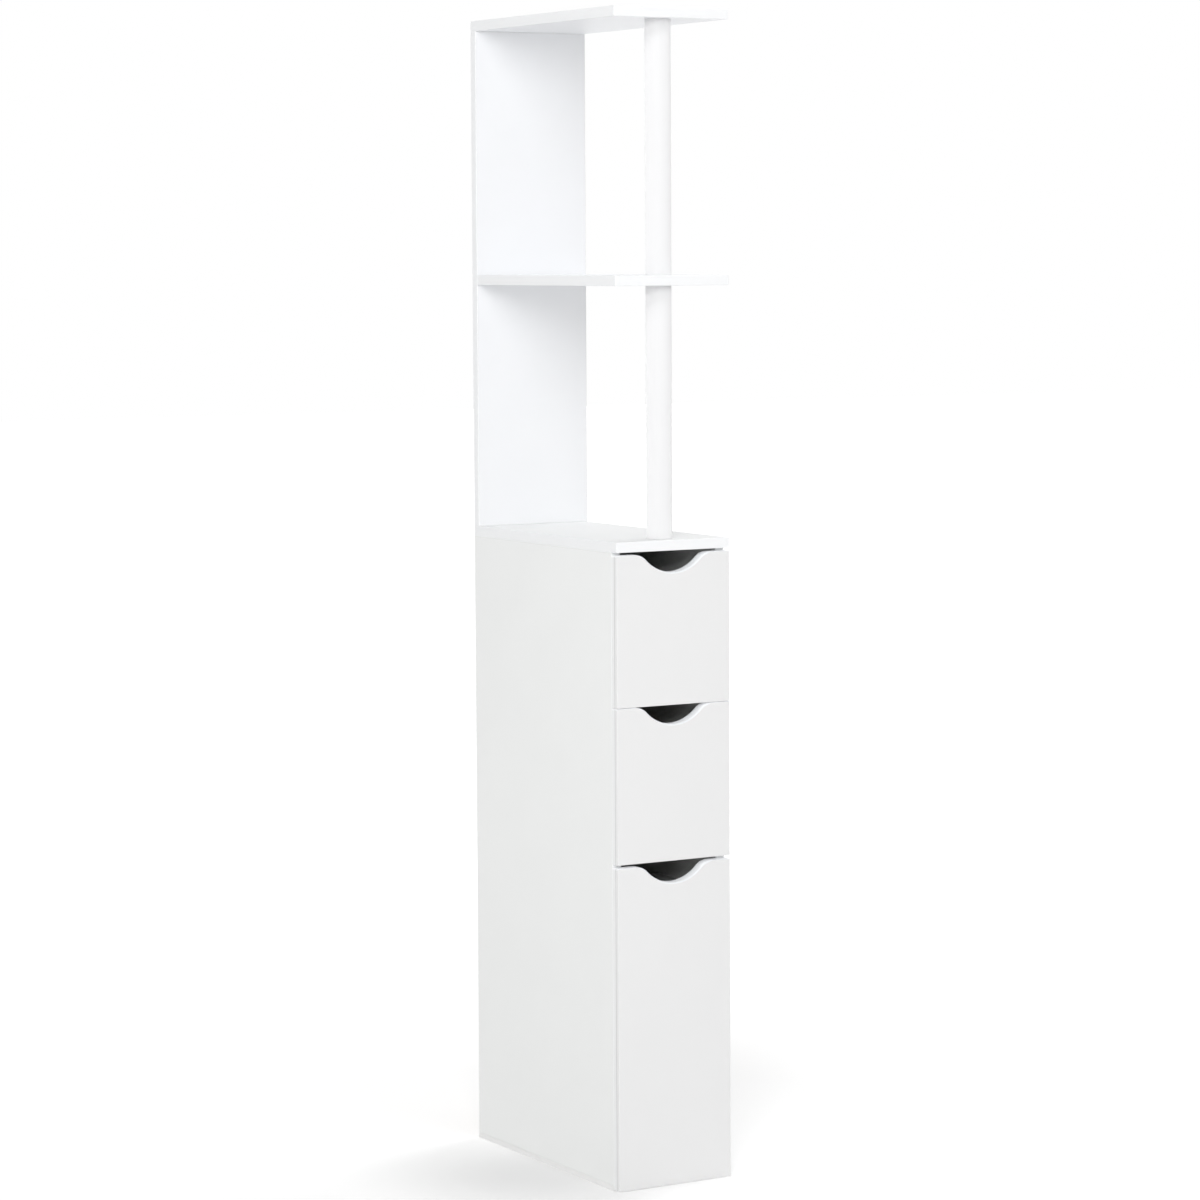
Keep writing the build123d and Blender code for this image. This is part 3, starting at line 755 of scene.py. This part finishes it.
zinc_cam = plain_metal("die_cast_zinc", "#8C8F92", "#A9ACAF", roughness=0.5, grain=0.6 * MM)
zinc_steel = plain_metal("zinc_plated_steel", "#8F9297", "#B4B7BB", roughness=0.32, grain=1.2 * MM)
beech = raw_beech()
FITTINGS = {
    "cams": (fine_cam, zinc_cam, "zinc_cam"),
    "bolts": (fine_bolt, zinc_steel, "zinc_plated_steel"),
    "screws": (fine_screw, zinc_steel, "zinc_plated_steel"),
    "screw": (fine_screw, zinc_steel, "zinc_plated_steel"),
    "stud": (fine_stud, zinc_steel, "zinc_plated_steel"),
    "dowels": (fine_dowel, beech, "beech"),
    "dowel": (fine_dowel, beech, "beech"),
}
for node in nodes:
    kind = node.split("_")[-1]
    if kind in FITTINGS:
        make_fitting, finish, slot = FITTINGS[kind]
        carrier = node.split("_drawer_")[0] + "_drawer" if "_drawer_" in node else "cabinet"
        parts = [make_fitting(points) for points in solids_of(node)]
        make_piece("fine_" + node, parts, finish, carrier, node)

# Fronts and poles, made finer than their solids

for drawer in DRAWERS:
    node = drawer + "_drawer_front"
    low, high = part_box(node)
    high.z += TOP_SHIFT[drawer]
    finish = coated_front("melamine_" + node, low, high)
    piece = make_piece(drawer + "_wave_front", front_parts(low, high), finish,
                       drawer + "_drawer", node)
    mark_rim(piece, high.z)

pole_finish = lacquered_pole()
for length in ("lower", "upper"):
    low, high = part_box(length + "_pole")
    profile = pole_profile((high.x - low.x) / 2, low.z, high.z)
    make_piece(length + "_turned_pole", lathe(profile, (low + high) / 2), pole_finish,
               "cabinet", length + "_pole")


# Floor, light and camera

def white_surround(tree, ray_shader, light_shader):
    """Show the first shader to the eye and in reflections, and the second to all other light."""
    path = add_node(tree, "ShaderNodeLightPath")
    seen = add_node(tree, "ShaderNodeMath", {
        0: path.outputs["Is Camera Ray"], 1: path.outputs["Is Glossy Ray"]}, operation="MAXIMUM").outputs[0]
    shown = add_node(tree, "ShaderNodeMath", {
        0: seen, 1: path.outputs["Is Transmission Ray"]}, operation="MAXIMUM").outputs[0]
    return add_node(tree, "ShaderNodeMixShader", {0: shown, 1: light_shader, 2: ray_shader}).outputs[0]


def lit_floor():
    """Matt white floor that glows towards plain white.

    The glow is faint at a point beside the cabinet and grows smoothly with the distance from there, which
    paints a shadow on the floor that fades out soon; it grows again far away. Under the cabinet it glows
    more, painted light that shows as a pale line below the lowest front.
    """
    painted_shadow_middle = (-0.10, -0.04, 0.0)
    painted_light_under = 0.35
    material, tree, place = new_material("matt_white_floor")
    away = add_node(tree, "ShaderNodeVectorMath", {
        0: place, 1: painted_shadow_middle}, operation="DISTANCE").outputs["Value"]
    # Painted shadow: the glow is lowest round that middle, which darkens the floor beside the cabinet
    painted_shadow_glow = add_node(tree, "ShaderNodeMapRange", {
        "Value": away, "From Min": 0.02, "From Max": 0.263, "To Min": 0.05, "To Max": 0.314},
        interpolation_type="SMOOTHSTEP").outputs[0]
    far = add_node(tree, "ShaderNodeMapRange", {
        "Value": away, "From Min": 0.6, "From Max": 2.5, "To Min": 0.0, "To Max": 0.6}).outputs[0]
    open_floor = add_node(tree, "ShaderNodeMath", {0: painted_shadow_glow, 1: far}, operation="ADD").outputs[0]
    # Painted light: the floor under the cabinet's footprint glows more, which lightens the shaded gap below
    # the lowest front
    low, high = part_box("lower_drawer_front")
    x, y, _ = add_node(tree, "ShaderNodeSeparateXYZ", {0: place}).outputs
    in_width = add_node(tree, "ShaderNodeMath", {0: x, 1: 0.0, 2: high.x}, operation="COMPARE").outputs[0]
    in_depth = add_node(tree, "ShaderNodeMath", {0: y, 1: 0.0, 2: -low.y}, operation="COMPARE").outputs[0]
    under = add_node(tree, "ShaderNodeMath", {0: in_width, 1: in_depth}, operation="MULTIPLY").outputs[0]
    strength = add_node(tree, "ShaderNodeMath", {
        0: under, 1: painted_light_under, 2: open_floor}, operation="MULTIPLY_ADD").outputs[0]
    plain = add_node(tree, "ShaderNodeBsdfDiffuse", {"Color": linear("#EEEEEE")}).outputs[0]
    glow = add_node(tree, "ShaderNodeEmission", {"Color": WHITE, "Strength": strength}).outputs[0]
    lifted = add_node(tree, "ShaderNodeAddShader", {0: plain, 1: glow}).outputs[0]
    add_node(tree, "ShaderNodeOutputMaterial", {0: white_surround(tree, lifted, plain)})
    return material


def add_lamp(name, place, aim_height, size, power):
    """A square soft box at a place, turned to a height over the middle of the floor."""
    lamp = bpy.data.lights.new(name, "AREA")
    lamp.shape = "SQUARE"
    lamp.size = size
    lamp.energy = power
    lamp_object = bpy.data.objects.new(name, lamp)
    bpy.context.scene.collection.objects.link(lamp_object)
    lamp_object.location = place
    sight = Vector((0, 0, aim_height)) - Vector(place)
    lamp_object.rotation_euler = sight.to_track_quat("-Z", "Y").to_euler()


def add_camera(place, yaw, pitch, roll, lens):
    """A camera at a place, turned right by yaw, down by pitch and about its sight by roll, in degrees."""
    yaw, pitch, roll = math.radians(yaw), math.radians(pitch), math.radians(roll)
    forward = Vector((math.sin(yaw) * math.cos(pitch), math.cos(yaw) * math.cos(pitch), -math.sin(pitch)))
    level_right = Vector((math.cos(yaw), -math.sin(yaw), 0))
    level_up = level_right.cross(forward)
    right = math.cos(roll) * level_right + math.sin(roll) * level_up
    up = math.cos(roll) * level_up - math.sin(roll) * level_right
    turned = Matrix((right, up, -forward)).transposed().to_4x4()
    camera_data = bpy.data.cameras.new("camera")
    camera_data.sensor_width = 36
    camera_data.lens = lens
    camera_data.clip_end = 100
    camera = bpy.data.objects.new("camera", camera_data)
    bpy.context.scene.collection.objects.link(camera)
    camera.matrix_world = Matrix.Translation(place) @ turned
    bpy.context.scene.camera = camera


FLOOR_REACH = 20.0
FLOOR_LEVEL = -0.2 * MM
ROUND_THE_FLOOR = ((-1, -1), (1, -1), (1, 1), (-1, 1))
floor_mesh = bpy.data.meshes.new("floor")
floor_corners = [(x * FLOOR_REACH, y * FLOOR_REACH, FLOOR_LEVEL) for x, y in ROUND_THE_FLOOR]
floor_mesh.from_pydata(floor_corners, [], [(0, 1, 2, 3)])
floor_mesh.materials.append(lit_floor())
floor = bpy.data.objects.new("floor", floor_mesh)
bpy.context.scene.collection.objects.link(floor)

world = bpy.data.worlds.new("soft_room")
bpy.context.scene.world = world
world.use_nodes = True
tree = world.node_tree
tree.nodes.clear()
white = add_node(tree, "ShaderNodeBackground", {"Color": WHITE, "Strength": 1.0})
soft_light = add_node(tree, "ShaderNodeBackground", {"Color": WHITE, "Strength": 0.51})
add_node(tree, "ShaderNodeOutputWorld", {0: white_surround(tree, white.outputs[0], soft_light.outputs[0])})

add_lamp("key_left_front", (-2.4, -3.8, 2.1), aim_height=0.8, size=1.2, power=58)
add_lamp("high_left_front", (-2.2, -2.3, 3.4), aim_height=0.8, size=1.5, power=33)
add_lamp("high_right_rear", (1.8, 0.6, 3.0), aim_height=0.4, size=1.2, power=20)
add_lamp("low_left_front", (-2.9, -3.3, 0.35), aim_height=0.3, size=1.2, power=8)
add_lamp("right_front", (2.7, -3.2, 2.4), aim_height=0.9, size=1.2, power=3.5)

add_camera((-2.31374, -3.94564, 1.08085), yaw=30.3989, pitch=5.1049, roll=-0.2992, lens=116.037)

bpy.context.scene.view_settings.view_transform = "Standard"
